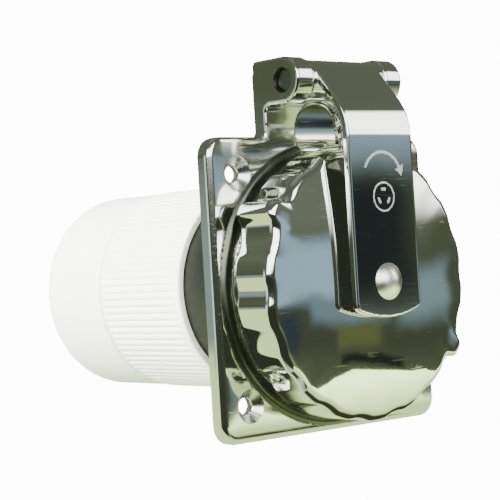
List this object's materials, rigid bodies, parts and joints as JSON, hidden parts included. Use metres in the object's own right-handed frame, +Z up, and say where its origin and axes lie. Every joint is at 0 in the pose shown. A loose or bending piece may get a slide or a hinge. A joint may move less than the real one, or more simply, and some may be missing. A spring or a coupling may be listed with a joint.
{
  "type": "shore power inlet",
  "caption": "Flange-mounted marine power inlet with a hinged turn-to-lock steel cap, curved blade contacts and a ribbed ring that holds a rear cover.",
  "frame": {"origin": "on the inlet's axis in the plane of the flange's back face, where it meets the panel", "axes": "-Y is the front, +Y runs to the cable end, +Z is up towards the hinge, +X is to the right seen from the front"},
  "size_m": [0.092, 0.1398, 0.1153],
  "materials": {
    "steel_polished": "polished 316 stainless steel casting and sheet",
    "steel_plain": "machined stainless steel",
    "black_plastic": "moulded black thermoplastic",
    "white_plastic": "moulded white nylon",
    "rubber": "black elastomer",
    "brass": "nickel-free brass"
  },
  "bodies": {
    "inlet": {"mounting_flange": "steel_polished", "flange_gasket": "rubber", "front_collar": "steel_polished", "hinge_pin": "steel_plain", "inlet_body": "black_plastic", "body_seal": "rubber", "body_nut": "black_plastic", "contact_carrier": "black_plastic", "earth_blade": "brass", "line_blade": "brass", "neutral_blade": "brass", "earth_terminal": "brass", "line_terminal": "brass", "neutral_terminal": "brass", "terminal_screws": "steel_plain", "carrier_screws": "steel_plain", "rear_seal": "rubber"},
    "lid_arm": {"lid_arm": "steel_polished", "lid_rivet": "steel_polished", "arm_washer": "steel_plain", "rivet_washer": "steel_plain"},
    "lid_cap": {"lid_cap": "steel_polished", "lid_gasket": "rubber"},
    "rear_cap": {"rear_cap": "white_plastic", "cable_grommet": "rubber", "lower_clamp_jaw": "black_plastic"},
    "clamp": {"upper_clamp_jaw": "black_plastic", "clamp_screws": "steel_plain"},
    "locking_ring": {"locking_ring": "white_plastic"}
  },
  "joints": [
    {"name": "lid_hinge", "type": "hinge", "parent": "inlet", "child": "lid_arm", "pos_m": [0, -0.0135, 0.0623], "axis": [-1, 0, 0], "range_deg": [0, 130]},
    {"name": "cap_turn", "type": "hinge", "parent": "lid_arm", "child": "lid_cap", "pos_m": [0, -0.0264, 0], "axis": [0, 1, 0], "range_deg": [0, 30]},
    {"name": "rear_cap_slide", "type": "slide", "parent": "inlet", "child": "rear_cap", "axis": [0, 1, 0], "range_m": [0, 0.012]},
    {"name": "ring_turn", "type": "hinge", "parent": "rear_cap", "child": "locking_ring", "pos_m": [0, 0.05, 0], "axis": [0, 1, 0], "range_deg": [0, 1080]},
    {"name": "clamp_slide", "type": "slide", "parent": "rear_cap", "child": "clamp", "axis": [0, 0, -1], "range_m": [0, 0.0025]}
  ],
  "couplings": [
    {"joint": "rear_cap_slide", "follows": "ring_turn", "m_per_rad": 0.00063662}
  ]
}
